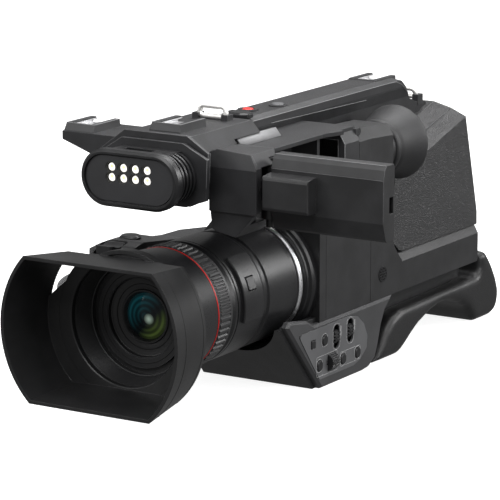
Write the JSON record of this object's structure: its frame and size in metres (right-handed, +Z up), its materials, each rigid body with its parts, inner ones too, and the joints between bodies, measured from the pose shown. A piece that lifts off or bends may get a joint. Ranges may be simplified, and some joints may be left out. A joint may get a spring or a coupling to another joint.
{
  "type": "camcorder",
  "caption": "Shoulder camcorder with a hooded lens, top handle carrying a light and accessory shoes, swing-out screen, hinged viewfinder, hand grip and shoulder pad.",
  "frame": {"origin": "centre of the tripod thread's mouth on the flat base", "axes": "+X to the camcorder's left side, +Y towards its back, +Z up; the lens looks along -Y"},
  "size_m": [0.2653, 0.443, 0.1881],
  "materials": {
    "hood_plastic": "satin dark moulding",
    "barrel_plastic": "semi-gloss black",
    "ring_rubber": "ribbed black rubber",
    "red_trim": "thin gloss red line",
    "chrome_trim": "polished ring",
    "coated_glass": "coated lens glass",
    "clear_glass": "clear lens glass",
    "case_plastic": "fine-grained dark grey",
    "textured_plastic": "leather-grained black",
    "control_grey": "satin mid grey",
    "plate_grey": "satin grey paint",
    "key_black": "semi-gloss key",
    "key_grey": "satin key",
    "key_red": "red key",
    "pad_rubber": "soft black rubber",
    "bare_steel": "plain bright steel",
    "shoe_metal": "dark brushed steel",
    "base_metal": "cast aluminium",
    "board_green": "circuit board",
    "handle_plastic": "satin dark grey",
    "light_black": "matt black heat sink",
    "light_grey": "satin grey face",
    "led_yellow": "warm white phosphor",
    "screen_glass": "dark glossy display",
    "strap_fabric": "padded woven strap"
  },
  "bodies": {
    "camcorder": {"lens_hood": "hood_plastic", "front_barrel": "barrel_plastic", "lens_bezel": "barrel_plastic", "front_element": "coated_glass", "inner_lenses": "clear_glass", "iris_unit": "key_black", "lens_tube": "barrel_plastic", "red_ring": "red_trim", "button_barrel": "barrel_plastic", "rear_barrel": "barrel_plastic", "chrome_ring": "chrome_trim", "lens_base": "barrel_plastic", "left_case": "case_plastic", "right_case": "case_plastic", "speaker_grille": "shoe_metal", "lower_cover": "case_plastic", "tripod_plate": "base_metal", "control_block": "control_grey", "control_plate": "plate_grey", "circuit_boards": "board_green", "shoulder_pad": "pad_rubber", "pad_bracket": "case_plastic", "screws": "bare_steel", "rear_box": "textured_plastic", "battery_pack": "key_black", "handle_core": "handle_plastic", "handle_cover": "handle_plastic", "front_housing": "handle_plastic", "heat_sink": "light_black", "light_bezel": "light_black", "light_panel": "light_grey", "light_leds": "led_yellow", "shoe_rails": "shoe_metal", "strap_eyelets": "bare_steel", "lcd_hinge_block": "handle_plastic", "vf_arm": "handle_plastic", "grip_body": "case_plastic", "hand_strap": "strap_fabric"},
    "focus_ring": {"focus_ring": "ring_rubber"},
    "lens_button": {"lens_button": "key_grey"},
    "square_button": {"square_button": "key_black"},
    "menu_button": {"menu_button": "key_black"},
    "focus_mode_button": {"focus_mode_button": "key_black"},
    "gain_button": {"gain_button": "key_black"},
    "white_balance_button": {"white_balance_button": "key_black"},
    "shutter_switch": {"shutter_switch": "key_black"},
    "filter_switch": {"filter_switch": "key_black"},
    "menu_dial": {"menu_dial": "key_black"},
    "battery_latch": {"battery_latch": "key_grey"},
    "record_button": {"record_button": "key_red"},
    "menu_key": {"menu_key": "key_grey"},
    "handle_zoom_lever": {"handle_zoom_lever": "key_black"},
    "lcd_yoke": {"lcd_yoke": "key_black"},
    "lcd_panel": {"lcd_housing": "case_plastic", "lcd_screen": "screen_glass"},
    "viewfinder": {"vf_body": "case_plastic", "vf_lens": "clear_glass", "vf_eyecup": "pad_rubber"},
    "zoom_rocker": {"zoom_rocker": "key_grey"},
    "photo_button": {"photo_button": "key_black"}
  },
  "joints": [
    {"name": "focus_turn", "type": "hinge", "parent": "camcorder", "child": "focus_ring", "pos_m": [0, -0.116, 0.0685], "axis": [0, 1, 0], "continuous": true},
    {"name": "lens_button_press", "type": "slide", "parent": "camcorder", "child": "lens_button", "axis": [-0.9397, 0, -0.342], "range_m": [0, 0.0008], "stiffness_N_per_m": 300, "springref_m": -0.001},
    {"name": "square_button_press", "type": "slide", "parent": "camcorder", "child": "square_button", "axis": [-1, 0, 0], "range_m": [0, 0.0006], "stiffness_N_per_m": 300, "springref_m": -0.001},
    {"name": "menu_button_press", "type": "slide", "parent": "camcorder", "child": "menu_button", "axis": [-1, 0, 0], "range_m": [0, 0.0006], "stiffness_N_per_m": 300, "springref_m": -0.001},
    {"name": "focus_mode_button_press", "type": "slide", "parent": "camcorder", "child": "focus_mode_button", "axis": [-1, 0, 0], "range_m": [0, 0.0006], "stiffness_N_per_m": 300, "springref_m": -0.001},
    {"name": "gain_button_press", "type": "slide", "parent": "camcorder", "child": "gain_button", "axis": [-1, 0, 0], "range_m": [0, 0.0006], "stiffness_N_per_m": 300, "springref_m": -0.001},
    {"name": "white_balance_button_press", "type": "slide", "parent": "camcorder", "child": "white_balance_button", "axis": [-1, 0, 0], "range_m": [0, 0.0006], "stiffness_N_per_m": 300, "springref_m": -0.001},
    {"name": "shutter_switch_slide", "type": "slide", "parent": "camcorder", "child": "shutter_switch", "axis": [0, 0, 1], "range_m": [-0.0025, 0.0025]},
    {"name": "filter_switch_slide", "type": "slide", "parent": "camcorder", "child": "filter_switch", "axis": [0, 0, 1], "range_m": [-0.0025, 0.0025]},
    {"name": "menu_dial_turn", "type": "hinge", "parent": "camcorder", "child": "menu_dial", "pos_m": [0.0444, -0.002, 0.0154], "axis": [0, 1, 0], "continuous": true},
    {"name": "battery_latch_slide", "type": "slide", "parent": "camcorder", "child": "battery_latch", "axis": [1, 0, 0], "range_m": [0, 0.004], "stiffness_N_per_m": 200, "springref_m": -0.002},
    {"name": "record_press", "type": "slide", "parent": "camcorder", "child": "record_button", "axis": [0, 0, -1], "range_m": [0, 0.001], "stiffness_N_per_m": 300, "springref_m": -0.001},
    {"name": "menu_key_press", "type": "slide", "parent": "camcorder", "child": "menu_key", "axis": [0, 0, -1], "range_m": [0, 0.0008], "stiffness_N_per_m": 300, "springref_m": -0.001},
    {"name": "photo_press", "type": "slide", "parent": "camcorder", "child": "photo_button", "axis": [0, 0, -1], "range_m": [0, 0.0008], "stiffness_N_per_m": 300, "springref_m": -0.001},
    {"name": "handle_zoom_turn", "type": "hinge", "parent": "camcorder", "child": "handle_zoom_lever", "pos_m": [0.005, -0.049, 0.177], "axis": [0, 0, 1], "range_deg": [-12, 12], "stiffness_Nm_per_rad": 0.05},
    {"name": "zoom_rocker_tilt", "type": "hinge", "parent": "camcorder", "child": "zoom_rocker", "pos_m": [-0.062, -0.093, 0.0906], "axis": [1, 0, 0], "range_deg": [-5, 5], "stiffness_Nm_per_rad": 0.2},
    {"name": "lcd_swing", "type": "hinge", "parent": "camcorder", "child": "lcd_yoke", "pos_m": [0.06, -0.1, 0.1475], "axis": [0, 0, 1], "range_deg": [0, 90]},
    {"name": "lcd_tilt", "type": "hinge", "parent": "lcd_yoke", "child": "lcd_panel", "pos_m": [0.075, -0.112, 0.1475], "axis": [1, 0, 0], "range_deg": [-90, 180]},
    {"name": "viewfinder_raise", "type": "hinge", "parent": "camcorder", "child": "viewfinder", "pos_m": [0.04, 0.0168, 0.1624], "axis": [1, 0, 0], "range_deg": [0, 75]}
  ]
}
